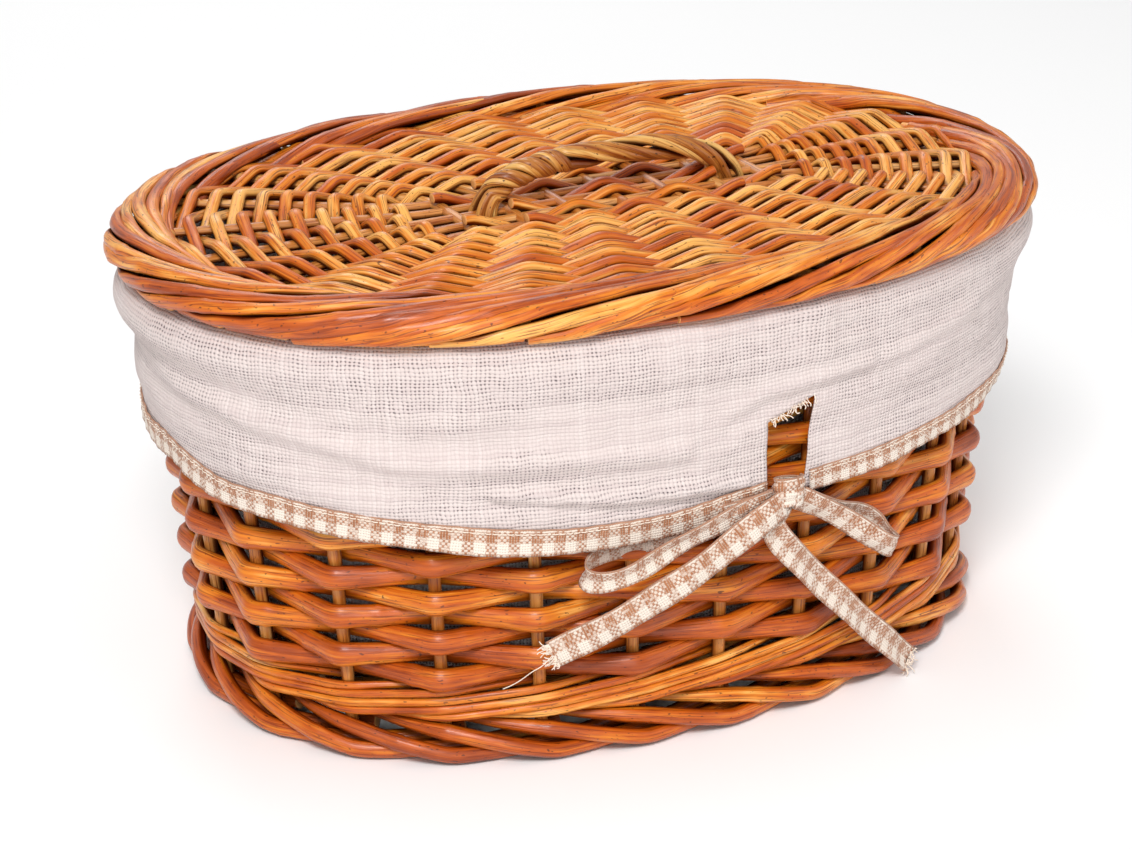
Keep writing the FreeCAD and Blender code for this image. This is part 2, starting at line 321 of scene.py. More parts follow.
def make_stage():
    paint = Shader("floor")
    paint.set(Base_Color=(0.95, 0.95, 0.95, 1), Roughness=0.9)
    corners = [(-FLOOR, -FLOOR, 0), (FLOOR, -FLOOR, 0), (FLOOR, FLOOR, 0), (-FLOOR, FLOOR, 0)]
    make_mesh("floor", corners, [(0, 1, 2, 3)], paint.material)
    world = bpy.data.worlds.new("studio")
    world.use_nodes = True
    background = world.node_tree.nodes["Background"]
    background.inputs["Color"].default_value = (1, 1, 1, 1)
    background.inputs["Strength"].default_value = 0.5
    bpy.context.scene.world = world
    aim = Vector((0, 0, 0.1))
    lamps = [("key", (-0.9, -1.3, 1.7), 0.6, 36.0), ("fill", (1.7, -1.0, 0.9), 1.2, 7.0),
             ("front", (-0.5, -1.7, 0.35), 0.8, 4.5), ("back", (0.4, 1.7, 1.5), 1.0, 12.0)]
    for name, position, size, power in lamps:
        data = bpy.data.lights.new(name, "AREA")
        data.size = size
        data.energy = power
        lamp = add_object(name, data)
        lamp.location = position
        lamp.rotation_euler = (aim - Vector(position)).to_track_quat("-Z", "Y").to_euler()
    bpy.context.scene.view_settings.view_transform = "Standard"
    bpy.context.scene.view_settings.look = "None"


# ================================================================ materials
def srgb(red, green, blue):
    """Screen colour, each part from 0 to 255, as a linear colour."""
    parts = [c / 255 for c in (red, green, blue)]
    return tuple(c / 12.92 if c <= 0.04045 else ((c + 0.055) / 1.055) ** 2.4 for c in parts) + (1.0,)


class Shader:
    """Builds one material's nodes."""

    def __init__(self, name):
        self.material = bpy.data.materials.new(name)
        self.material.use_nodes = True
        self.tree = self.material.node_tree
        self.surface = self.tree.nodes["Principled BSDF"]

    def put(self, socket, value):
        if isinstance(value, bpy.types.NodeSocket):
            self.tree.links.new(value, socket)
        else:
            socket.default_value = value

    def node(self, kind, inputs, output=0, **settings):
        node = self.tree.nodes.new("ShaderNode" + kind)
        for name, value in settings.items():
            setattr(node, name, value)
        for name, value in inputs.items():
            self.put(node.inputs[name], value)
        return node.outputs[output]

    def attribute(self, name, output="Fac"):
        return self.node("Attribute", {}, output, attribute_name=name)

    def math(self, operation, a, b=0.0, clamp=False):
        return self.node("Math", {0: a, 1: b}, operation=operation, use_clamp=clamp)

    def times(self, a, b):
        return self.math("MULTIPLY", a, b)

    def plus(self, a, b, clamp=False):
        return self.math("ADD", a, b, clamp)

    def noise(self, vector, rates, detail, rough):
        """Noise that changes rates times a metre along each axis."""
        place = self.node("VectorMath", {0: vector, 1: rates}, operation="MULTIPLY")
        return self.node("TexNoise", {"Vector": place, "Scale": 1.0, "Detail": detail, "Roughness": rough})

    def split(self, vector):
        node = self.tree.nodes.new("ShaderNodeSeparateXYZ")
        self.tree.links.new(vector, node.inputs[0])
        return node.outputs

    def crossing(self, column, row):
        """Random number for each crossing of two threads."""
        return self.node("TexWhiteNoise", {"Vector": self.node("CombineXYZ", {0: column, 1: row})}, 0,
                         noise_dimensions="2D")

    def span(self, value, low, high, to_low=0.0, to_high=1.0):
        """Maps low..high to to_low..to_high with soft, clamped ends."""
        return self.node("MapRange", {0: value, 1: low, 2: high, 3: to_low, 4: to_high},
                         interpolation_type="SMOOTHSTEP")

    def mix(self, factor, a, b):
        return self.node("Mix", {0: factor, 6: a, 7: b}, 2, data_type="RGBA", blend_type="MIX")

    def ramp(self, factor, stops):
        node = self.tree.nodes.new("ShaderNodeValToRGB")
        self.tree.links.new(factor, node.inputs[0])
        elements = node.color_ramp.elements
        while len(elements) < len(stops):
            elements.new(0.5)
        for element, (position, colour) in zip(elements, stops):
            element.position = position
            element.color = colour
        return node.outputs[0]

    def bump(self, height, distance, strength):
        normal = self.node("Bump", {"Height": height, "Distance": distance, "Strength": strength})
        self.put(self.surface.inputs["Normal"], normal)

    def set(self, **inputs):
        for name, value in inputs.items():
            self.put(self.surface.inputs[name.replace("_", " ")], value)


def willow(name, stops, speck=1.0):
    """Varnished willow: fibre streaks, blotches, bark specks, painted shade on the rods' inner sides, pale sawn
    ends.
    """
    shade = Shader(name)
    grain = shade.attribute("grain", "Vector")
    fibre = shade.noise(grain, (42.0, 1500.0, 1.0), 3.0, 0.6)
    streak = shade.noise(grain, (22.0, 620.0, 1.0), 2.0, 0.55)
    blotch = shade.noise(grain, (26.0, 90.0, 1.0), 3.0, 0.6)
    spots = shade.noise(grain, (420.0, 900.0, 1.0), 1.0, 0.5)
    level = shade.plus(shade.attribute("tone"), shade.span(blotch, 0.25, 0.75, -0.30, 0.30))
    level = shade.plus(level, shade.span(streak, 0.3, 0.7, -0.22, 0.18), clamp=True)
    colour = shade.ramp(level, stops)
    colour = shade.mix(shade.span(fibre, 0.53, 0.64, 0.0, 0.74), colour, srgb(112, 36, 0))
    colour = shade.mix(shade.span(spots, 0.68, 0.74, 0.0, 0.75 * speck), colour, srgb(58, 18, 4))
    # painted shade: the side of each rod that faces into the work is darkened towards deep brown
    colour = shade.mix(shade.span(shade.attribute("hollow"), 0.22, 0.85, 0.0, 0.92), colour, srgb(70, 12, 0))
    colour = shade.mix(shade.attribute("cut"), colour, srgb(222, 160, 96))
    gloss = shade.span(shade.attribute("hollow"), 0.2, 0.8, 0.38, 0.02)
    shade.set(Base_Color=colour, Roughness=shade.span(streak, 0.3, 0.7, 0.30, 0.48), Coat_Roughness=0.22,
              Coat_Weight=shade.times(gloss, 0.6), Specular_IOR_Level=gloss)
    ridges = shade.plus(shade.times(fibre, 0.6), streak)
    shade.bump(ridges, 0.0008, 0.75)
    return shade.material


def threads(shade, pitch):
    """Threads both ways: (cloth position, its parts, how far inside the weft and the warp, cell numbers)."""
    thread = shade.attribute("thread", "Vector")
    sway = shade.noise(thread, (75.0, 75.0, 1.0), 3.0, 0.6)
    parts = shade.split(thread)
    solid, cells = [], []
    for axis in range(2):
        place = shade.times(parts[axis], 1 / pitch)
        place = shade.plus(place, shade.times(sway, 1.9))
        solid.append(shade.math("ABSOLUTE", shade.math("SINE", shade.times(place, math.pi))))
        cells.append(shade.math("FLOOR", place))
    return thread, parts, solid, cells


def linen(name, light, dark):
    """Open plain weave of slubby threads, with painted shade in the pinholes where they are furthest apart and
    along each thread's edges.
    """
    shade = Shader(name)
    thread, _, (weft, warp), (column, row) = threads(shade, 1.55 * MM)
    slub = shade.node("TexWhiteNoise", {"W": row}, 0, noise_dimensions="1D")
    slub_across = shade.node("TexWhiteNoise", {"W": column}, 0, noise_dimensions="1D")
    patch = shade.noise(thread, (16.0, 34.0, 1.0), 4.0, 0.62)
    # mask of the painted shade in the pinholes, where weft and warp are both thin
    gap = shade.times(shade.span(weft, 0.86, 0.42), shade.span(warp, 0.86, 0.42))
    open_here = shade.times(shade.span(patch, 0.42, 0.55), shade.span(slub, 0.1, 0.9, 0.55, 1.0))
    open_here = shade.times(open_here, shade.span(shade.crossing(column, row), 0.15, 0.7, 0.15, 1.0))
    gap = shade.times(gap, open_here)
    colour = shade.mix(shade.span(slub, 0.0, 1.0), light, dark)
    colour = shade.mix(shade.span(slub_across, 0.5, 1.0, 0.0, 0.3), colour, srgb(224, 212, 208))
    # painted shade along the edges of each thread, where it rounds away between its neighbours
    for wave in (weft, warp):
        colour = shade.mix(shade.span(wave, 0.75, 0.1, 0.0, 0.13), colour, srgb(168, 150, 146))
    # painted shade: the pinholes are darkened towards a deep grey
    colour = shade.mix(gap, colour, srgb(70, 56, 60))
    shade.set(Base_Color=colour, Roughness=0.88, Sheen_Weight=0.15, Specular_IOR_Level=0.2)
    height = shade.plus(shade.plus(weft, warp), shade.times(slub, 0.5))
    shade.bump(height, 0.0003, 0.8)
    return shade.material


def gingham():
    """Cream and brown check, woven from threads a millimetre apart, with painted shade in the gaps between
    threads.
    """
    shade = Shader("gingham")
    check = 4.6 * MM
    thread, parts, (weft, warp), (column, row) = threads(shade, 1.1 * MM)
    sides = []
    for axis, shift in ((0, 0.0), (1, 0.62)):
        place = shade.plus(shade.times(parts[axis], 0.5 / check), shift)
        sides.append(shade.span(shade.math("PINGPONG", place, 0.5), 0.22, 0.28))
    over = shade.math("PINGPONG", shade.plus(column, row), 1.0)
    woven = shade.node("Mix", {0: over, 2: sides[0], 3: sides[1]}, 0, data_type="FLOAT")
    solid = shade.times(sides[0], sides[1])
    either = shade.times(shade.math("MAXIMUM", sides[0], sides[1]), 0.28)
    brown = shade.math("MAXIMUM", solid, shade.plus(either, shade.times(woven, 0.62)))
    brown = shade.times(brown, shade.span(weft, 0.1, 0.7, 0.62, 1.0))
    brown = shade.times(brown, shade.span(shade.crossing(column, row), 0.0, 0.35, 0.45, 1.0))
    edge = shade.span(parts[1], 0.93 * TAPE_WIDTH, 0.97 * TAPE_WIDTH, 0.0, 0.85)
    brown = shade.math("MAXIMUM", brown, edge)
    fade = shade.noise(thread, (160.0, 160.0, 1.0), 3.0, 0.6)
    colour = shade.mix(brown, srgb(232, 218, 204), shade.mix(fade, srgb(138, 78, 42), srgb(190, 134, 98)))
    # painted shade: where weft and warp are both thin, the gaps between threads are darkened towards dark brown
    gap = shade.times(shade.span(weft, 0.5, 0.1), shade.span(warp, 0.5, 0.1))
    colour = shade.mix(shade.times(gap, 0.8), colour, srgb(104, 66, 44))
    shade.set(Base_Color=colour, Roughness=0.85, Sheen_Weight=0.15, Specular_IOR_Level=0.2)
    shade.bump(shade.plus(weft, warp), 0.00025, 0.8)
    return shade.material


def cotton():
    """Loose cream thread."""
    shade = Shader("cotton")
    grain = shade.attribute("grain", "Vector")
    twist = shade.noise(grain, (1500.0, 900.0, 1.0), 2.0, 0.5)
    shade.set(Base_Color=shade.mix(twist, srgb(216, 190, 164), srgb(250, 242, 232)), Roughness=0.9)
    return shade.material


HONEY = [(0.0, srgb(150, 60, 2)), (0.35, srgb(190, 86, 6)), (0.7, srgb(218, 124, 22)),
         (1.0, srgb(240, 176, 88))]
PALE = [(0.0, srgb(156, 78, 18)), (0.4, srgb(190, 110, 40)), (0.8, srgb(214, 144, 72)),
        (1.0, srgb(228, 172, 106))]
GREEN = [(0.0, srgb(116, 58, 12)), (0.4, srgb(166, 98, 34)), (0.8, srgb(204, 142, 64)),
         (1.0, srgb(222, 174, 98))]
ROD = willow("willow_rods", HONEY)
STICK = willow("willow_sticks", PALE, 0.6)
ROPE = willow("willow_handle", GREEN, 1.3)
LINEN = linen("linen", srgb(214, 200, 196), srgb(206, 191, 188))
# painted light: the same linen as the cuff, made lighter for the inside of the basket to offset the shade that
# falls there
LINEN_LIGHTENED = linen("linen_lightened", srgb(240, 232, 230), srgb(232, 223, 222))
GINGHAM = gingham()
COTTON = cotton()


# ================================================================ wall of the basket
STAKE_RADIUS = 2.75 * MM
ROW_COUNT = 16
FIRST_ROW_Z = 38.5 * MM
ROW_PITCH = 8.9 * MM
ROD_DEEP = 3.7 * MM                # half the depth of a wall rod
ROD_TALL = 5.2 * MM                # half the height of a wall rod where it is flattened over a stake
ROD_PLAIN = 4.35 * MM              # the same halfway between two stakes
SWING = STAKE_RADIUS + ROD_DEEP


def make_stakes():
    strands = Strands(11)
    for stake in range(STAKES):
        heights = np.linspace(9 * MM, RIM_Z - 7 * MM, 60)
        path = wall(stake / STAKES, heights, 0.0)
        strands.add(path, outward(path), STAKE_RADIUS, STAKE_RADIUS, strands.rng.uniform(0.3, 0.9))
    strands.make("stakes", "basket", "willow_sticks", STICK, "side_stakes")


def row_rods(rng, start, count, beside, overlap):
    """Corners and path of each of the two rods in a row; beside gives the point at each stick."""
    middle = start + 2 * rng.randint(4, count // 2 - 4)
    for first, last in ((start, middle), (middle, start + count)):
        corners = np.array([beside(number) for number in range(first, last + 1)])
        corners[-1] += (corners[-2] - corners[-1]) * overlap
        yield corners, bend(corners, 3.6 * MM, 1.5 * MM)


def make_rows():
    for row in range(ROW_COUNT):
        strands = Strands(100 + row)
        rng = strands.rng

        def beside(stake):
            out = 1 if (stake + row) % 2 else -1
            height = FIRST_ROW_Z + ROW_PITCH * row + rng.uniform(-0.35, 0.35) * MM
            return wall(stake / STAKES, height, out * SWING)

        # the row is inside stake 7 * row, where rods begin and end
        for corners, path in row_rods(rng, 7 * row, STAKES, beside, 0.03):
            gap = np.linalg.norm(path[:, None] - corners[None], axis=2).min(axis=1)
            flat = np.exp(-(gap / (11 * MM)) ** 2)
            wide = (ROD_PLAIN + (ROD_TALL - ROD_PLAIN) * flat) * rng.uniform(0.96, 1.04)
            high = ROD_DEEP + 0.3 * MM - 0.35 * MM * flat
            strands.add(path, outward(path), wide, high, rng.betavariate(3.0, 3.7), 16)
        name = "%02d" % (row + 1)
        strands.make("wall_row_" + name, "basket", "willow_rods", ROD, "side_weaver_" + name)


def make_wale():
    """Thin rods that climb to the right, each outside three stakes and then inside one."""
    strands = Strands(31)
    radius = 1.85 * MM
    low, rise, reach = 18.7 * MM, 13.6 * MM, 4
    for stake in range(STAKES):
        corners = []
        for step in range(reach + 2):
            inside = step in (0, reach + 1)
            offset = -(STAKE_RADIUS + radius) if inside else STAKE_RADIUS + radius + 0.3 * MM
            z = low + rise * min(1, max(0, (step - 0.5) / (reach - 0.5)))
            z += strands.rng.uniform(-0.3, 0.3) * MM
            corners.append(wall((stake + step) / STAKES, z, offset))
        path = bend(corners, 9 * MM, 1.6 * MM)
        tone = strands.rng.betavariate(5, 2)
        strands.add(path, outward(path), radius * 1.08, radius, tone, 12, taper=0.12)
    strands.make("foot_wale_rods", "basket", "willow_rods", ROD, "foot_wale")


def along_section(stops, count, width):
    """Rounded section outline, spread evenly over count points: (first measure, second measure)."""
    section = evenly(np.array(stops) * MM, count)
    return [soften(measure, width) for measure in section.T]


def make_foot():
    """Rolled border: each rod starts beside a stake, slopes down to the floor and runs on underneath."""
    strands = Strands(41)
    radius = 3.4 * MM
    reach = 4.0                              # stake spacings that each rod spans
    count = 110
    section = [(-3.5, 16.5), (5.0, 13.2), (8.4, 8.4), (8.2, 4.4), (0.5, 4.0), (-6.8, 4.2), (-7.4, 10.6)]
    offsets, heights = along_section(section, count, 13)
    along = np.linspace(0, reach, count)
    for stake in range(STAKES):
        shares = (stake + 0.20 + strands.rng.uniform(-0.03, 0.03) + along) / STAKES
        path = wall(shares, heights, offsets)
        thick = radius * strands.rng.uniform(0.95, 1.04) * np.interp(along, [0, 0.7], [0.4, 1.0])
        strands.add(path, outward(path), thick, thick, strands.rng.betavariate(2, 3.5), 16)
    nodes = ["foot_rods_%s_%s" % (level, face) for level in ("low", "high") for face in ("outer", "inner")]
    strands.make("foot_border_rods", "basket", "willow_rods", ROD, *nodes)


def make_rim():
    strands = Strands(51)
    nodes = []
    for level, z, offset in (("low", RIM_ROD_Z, 6.2 * MM), ("high", RIM_Z - 2.8 * MM, 3.2 * MM)):
        for face, out in (("outer", 1), ("inner", -1)):
            for part in range(3):
                shares = np.linspace(part, part + 0.995, 200) / 3 + 0.07
                path = wall(shares, z, out * offset)
                strands.add(path, outward(path), 2.7 * MM, 2.7 * MM)
            nodes.append("rim_rod_%s_%s" % (level, face))
    strands.make("rim_rods", "basket", "willow_rods", ROD, *nodes)


# ================================================================ flat woven discs
class Disc:
    """Oval disc woven on sticks that cross in the middle, bend at a knee and fan out to the edge.

    Each end of a stick is one rib, and the ribs are numbered round from the +X end.
    """

    def __init__(self, half, z, longs, crosses, knee_x, shift=0.0):
        stick_gap, knee_gap = 11 * MM, 13 * MM
        spread = stick_gap * (longs - 1) / 2
        reach = knee_x - knee_gap
        knee_y = spread + 3.5 * MM
        side = [(knee_x, y) for y in np.linspace(-spread, spread, longs)]
        side += [(x, knee_y) for x in np.linspace(reach, -reach, crosses)]
        knees = np.array(side + [(-x, -y) for x, y in side])
        knees[:, 0] += shift
        self.count, self.longs = len(knees), longs
        self.cross_x = np.linspace(reach, -reach, crosses) + shift
        between = np.linspace(-spread, spread, longs)[:-1] + stick_gap / 2
        self.filling_y = [-knee_y - 1 * MM, *between, knee_y + 1 * MM]
        oval = Oval(half)
        shares = (np.arange(self.count) - (longs - 1) / 2) / self.count
        self.knees = np.column_stack([knees, np.full(self.count, z)])
        self.edge = np.column_stack([oval.at_angle(oval.angle(shares)), np.full(self.count, z)])

    def rib(self, number, fraction):
        """Point on a rib, from its knee (0) to the edge (1)."""
        number = number % self.count
        return self.knees[number] * (1 - fraction) + self.edge[number] * fraction

    def sticks(self, strands, long_size, cross_size):
        half = self.count // 2
        for rib in range(half):
            long = rib < self.longs
            far = (half + self.longs - 1 if long else self.count - 1 + self.longs) - rib
            corners = [self.edge[rib], self.knees[rib], self.knees[far], self.edge[far]]
            wide, high = long_size if long else cross_size
            path = bend(corners, 12 * MM, 2.5 * MM)
            strands.add(path, UP, wide, high, strands.rng.uniform(0.35, 0.95))

    def filling(self, strands, rib_high, wide, high):
        """Rods beside the long sticks, passing over and under the cross sticks in turn."""
        for number, y in enumerate(self.filling_y):
            from_side = min(number, len(self.filling_y) - 1 - number)
            crossed = list(enumerate(self.cross_x))
            if from_side != 1:
                crossed = crossed[1:-1]
            corners = []
            for position, x in crossed:
                up = -1 if (position + from_side) % 2 == 0 else 1
                corners.append((x, y, self.knees[0][2] + up * (rib_high + high)))
            tail = (3.6 if from_side < 2 else 0.9) * MM
            corners = np.array([corners[0]] + corners + [corners[-1]])
            corners[0, 0] += tail
            corners[-1, 0] -= tail
            path = bend(corners, 5 * MM, 1.6 * MM)
            strands.add(path, UP, wide, high, strands.rng.uniform(0.3, 0.9))

    def row(self, strands, row, fraction, rib_high, wide, high, squash=1.0):
        """One row, over and under the ribs in turn, made of rods that begin and end under a rib."""
        rng = strands.rng

        def beside(rib):
            point = self.rib(rib, fraction)
            up = 1 if (rib + row) % 2 else -1
            point[2] += up * (rib_high + high) * squash + rng.uniform(-0.2, 0.2) * MM
            return point

        for _, path in row_rods(rng, 5 * row, self.count, beside, 0.04):
            fat = rng.uniform(0.93, 1.06)
            strands.add(path, UP, wide * fat, high * fat, rng.betavariate(6.0, 2.2))


def make_base():
    disc = Disc((166.5 * MM, 114 * MM), 25 * MM, 4, 8, 80 * MM)
    sticks = Strands(61)
    disc.sticks(sticks, (2.6 * MM, 1.8 * MM), (2.6 * MM, 2.5 * MM))
    sticks.make("base_sticks", "basket", "willow_sticks", STICK, "base_long_sticks", "base_cross_sticks")
    weave = Strands(62)
    for row, fraction in enumerate(np.linspace(0.08, 0.965, 12)):
        disc.row(weave, row, fraction, 2.5 * MM, 2.9 * MM, 2.0 * MM)
    weave.make("base_rows", "basket", "willow_rods", ROD, "base_weave")


def make_lid():
    rib_end = 9.3 * MM
    disc = Disc(LID_HALF - rib_end, LID_Z, 5, 7, 86 * MM, LID_SHIFT)
    sticks = Strands(71)
    disc.sticks(sticks, (2.7 * MM, 1.9 * MM), (2.7 * MM, 2.5 * MM))
    sticks.make("lid_sticks", "lid", "willow_sticks", STICK, "lid_long_sticks", "lid_cross_sticks")
    filling = Strands(72)
    disc.filling(filling, 2.5 * MM, 2.75 * MM, 2.3 * MM)
    filling.make("lid_filling", "lid", "willow_rods", ROD, "lid_filling_rods")
    fractions = np.linspace(0.06, 0.925, 20)
    for pair in range(10):
        weave = Strands(200 + pair)
        for row in (2 * pair, 2 * pair + 1):
            squash = 1.0 if row < 18 else 0.7
            disc.row(weave, row, fractions[row], 2.5 * MM, 2.7 * MM, 2.3 * MM, squash)
        name = "%02d" % (pair + 1)
        weave.make("lid_rows_" + name, "lid", "willow_rods", ROD, "lid_weave_" + name)
    make_lid_border()


def rolled_rod(strands, outline, shares, inset, lift, wide, high, tone):
    """Rod that moves across the lid's edge section as it runs round; inset is from the outline inwards."""
    flat = outline.at_angle(outline.angle(shares))
    normal = outline.normal(flat)
    path = np.column_stack([flat - normal * inset[:, None], LID_Z + lift])
    around = np.stack([np.gradient(lift), np.gradient(inset)], -1)
    around /= np.maximum(np.linalg.norm(around, axis=1, keepdims=True), 1e-9)
    out = np.column_stack([normal * around[:, :1], around[:, 1]])
    strands.add(path, out, wide, high, tone, 16, taper=0.12)


BORDER_RODS = 36


def make_lid_border():
    """Rolled edge: rods start at the edge's lower side, turn up round it and run in over the top."""
    strands = Strands(81)
    rng = strands.rng
    outline = Oval(LID_HALF)
    over = [(7.5, -5.4), (4.0, -4.0), (2.6, 0.2), (5.0, 4.9), (11.5, 7.2), (18.5, 7.5), (24, 6.0), (29, 0.5)]
    under = [(23, -4.9), (16, -5.3), (10, -5.6), (6.5, -5.0)]
    for number in range(BORDER_RODS):
        first = number * STAKES / BORDER_RODS
        reach = 4.9 + rng.uniform(-0.5, 0.5)
        along = np.linspace(0, 0.25, 150)
        section = evenly(np.array(over) * MM, 150)
        uneven = [measure + wobble(along, rng, 0.7 * MM, 3, 0.06, 0.2) for measure in section.T]
        inset, lift = [soften(measure, 15) for measure in uneven]
        shares = (first + rng.uniform(-0.2, 0.2) + np.linspace(0, reach, 150)) / STAKES
        thick = rng.uniform(0.9, 1.1)
        tone = rng.betavariate(4.0, 3.3)
        rolled_rod(strands, outline, shares, inset, lift, 3.1 * MM * thick, 2.3 * MM * thick, tone)
        inset, lift = along_section(under, 70, 15)
        shares = (first + 0.3 + np.linspace(0, 2.4, 70)) / STAKES
        rolled_rod(strands, outline, shares, inset, lift, 3.1 * MM, 2.4 * MM, rng.betavariate(2, 2))
    strands.make("lid_border_rods", "lid", "willow_rods", ROD, "lid_border_outer", "lid_border_inner")


def make_handle():
    """Twisted rope of two bundles of rods in a low arch, wound tightly near its left root."""
    half_span, top, root, power, lean = 60.8 * MM, 217 * MM, 192.5 * MM, 2.6, 0.07
    count = 150
    along = np.linspace(0, 1, count)
    angle = math.pi * (1 - along)
    across, rise = np.clip(bulged(angle, power), [-1, 0], 1).T
    x = LID_SHIFT + half_span * across
    z = root + (top - root) * rise * (1 - lean * np.cos(angle))
    line = evenly(np.column_stack([x, 0 * x, z]), count)
    tangent = unit(np.gradient(line, axis=0))
    side = np.array([0.0, 1.0, 0.0])
    up = np.cross(tangent, side)
    up *= np.sign(up[count // 2, 2])
    tight = np.clip((along - 0.10) / 0.26, 0, 1)
    loose = np.clip((along - 0.30) / 0.62, 0, 1)
    twist = 2 * math.pi * (1.6 * tight + 1.1 * loose)
    flare = np.clip(1 - np.minimum(along, 1 - along) / 0.09, 0, 1)
    for strand, first in (("a", 0.0), ("b", math.pi)):
        strands = Strands(91 if strand == "a" else 92)
        for shift, depth in ((-0.72, 3.5), (0.0, 3.9), (0.72, 3.5)):
            turn = twist + first + shift
            spread = (depth + 1.9 * flare) * MM
            way = np.cos(turn)[:, None] * side + np.sin(turn)[:, None] * up
            path = line + way * spread[:, None]
            strands.add(path, way, 2.1 * MM, 2.05 * MM, strands.rng.uniform(0.2, 0.95), 14, rough=0.07)
        strands.make("handle_strand_" + strand, "lid", "willow_handle", ROPE, "lid_handle_strand_" + strand)


# ================================================================ cloth
CLOTH = 0.7 * MM                   # thickness of the linen and of the tape
NOTCH_LEFT, NOTCH_RIGHT = 12.0, 32.0        # the slit's two edges, x in mm
# the hem's lower edge, in mm: (x, z) along the front, then (share, z) for the rest
HEM = [(-193, 117), (-187, 115.5), (-174, 111), (-160, 109.5), (-143, 106.5), (-127, 104.5), (-109, 102),
       (-90, 99.8), (-76, 98.5), (-54, 97.5), (-32, 98), (-14, 100), (6, 103), (12, 104), (33, 106.2),
       (60, 106.5), (89, 108.5), (124, 110), (151, 112.5), (178, 118)]
HEM_ENDS = [(0.0, 122), (0.06, 121), (0.14, 114), (0.24, 109), (0.34, 113), (0.44, 124), (0.5, 119)]
# folds in the front of the cuff: (x, z) stops in mm, width, height
FOLDS = [([(-185, 158), (-130, 141), (-25, 136)], 5.0, 3.0), ([(-98, 126), (-50, 119), (2, 117)], 2.4, 3.2),
         ([(-5, 148), (12, 154), (60, 157)], 3.5, 1.9), ([(70, 158), (120, 163)], 4.0, 2.0),
         ([(-170, 130), (-120, 117), (-80, 118)], 5.0, 1.5)]


def hem_height(share):
    """Height of the hem's lower edge all the way round."""
    stops = [(share_at(x * MM), z) for x, z in HEM] + [(s % 1.0, z) for s, z in HEM_ENDS]
    stops = sorted(set(stops))
    shares, heights = np.array(stops).T
    shares = np.concatenate([shares - 1, shares, shares + 1])
    heights = np.tile(heights, 3)
    near = np.linspace(-0.008, 0.008, 5)
    value = np.mean([np.interp(np.mod(share, 1.0) + step, shares, heights) for step in near], axis=0)
    return value * MM


def crumple(points, seed, waves, shortest, longest, lean=1.0):
    """Random soft wrinkles at points in space, about -1 to 1. lean makes them run more nearly level."""
    rng = random.Random(seed)
    total = np.zeros(points.shape[:-1])
    for _ in range(waves):
        length = math.exp(rng.uniform(math.log(shortest), math.log(longest)))
        tilt, turn = rng.uniform(-1.2, 1.2) / lean, rng.uniform(0, 2 * math.pi)
        way = np.array([math.sin(tilt) * math.cos(turn), math.sin(tilt) * math.sin(turn), math.cos(tilt)])
        phase = rng.uniform(0, 2 * math.pi)
        drift = 0.7 * np.sin(2 * math.pi * (points @ np.array([1.0, 1.3, 0.9])) / (2.6 * longest) + phase)
        total += math.sqrt(length / longest) * np.sin(2 * math.pi * (points @ way) / length + drift + phase)
    return total / math.sqrt(waves)


def fold(x, z, stops, width):
    """1 along a line of (x, z) stops, fading to 0 over width."""
    stops = np.array(stops, float)
    nearest = np.full(np.broadcast(x, z).shape, 1e9)
    for a, b in zip(stops, stops[1:]):
        run = b - a
        t = np.clip(((x - a[0]) * run[0] + (z - a[1]) * run[1]) / (run @ run), 0, 1)
        nearest = np.minimum(nearest, np.hypot(x - a[0] - t * run[0], z - a[1] - t * run[1]))
    return np.exp(-(nearest / width) ** 2)


def cuff_offset(share, z):
    """How far the hanging cuff stands off the stake line."""
    share, z = np.broadcast_arrays(np.asarray(share, float), np.asarray(z, float))
    points = wall(share, z, 0)
    x, y = points[..., 0] / MM, points[..., 1] / MM
    height = z / MM
    drop = np.clip((RIM_Z / MM - height) / 75, 0, 1)
    value = 12.9 + 1.1 * np.sin(math.pi * drop)
    value = value + 1.3 * crumple(points, 5, 10, 0.02, 0.10, 3.0) * np.clip(drop * 3, 0, 1)
    value = value + 0.5 * crumple(points, 6, 9, 0.010, 0.035, 1.5) * np.clip(drop * 3, 0, 1)
    front = np.clip(-y / 25, 0, 1)
    for stops, width, height_of in FOLDS:
        value = value + front * height_of * fold(x, height, stops, width)
        lower = [(px, pz - 1.5 * width) for px, pz in stops]
        value = value - front * 0.45 * height_of * fold(x, height, lower, width)
    return np.maximum(value, 11.9) * MM + puff(share, z)


def puff(share, z):
    """How far the cuff swells out below the rim at the basket's two ends."""
    turn = 2 * math.pi * np.asarray(share, float)
    end = np.exp(-(np.sin(turn) / 0.45) ** 2)
    size = (10 + 2.5 * np.cos(turn)) * MM
    return size * end * np.exp(-((z / MM - 177) / 10) ** 2)


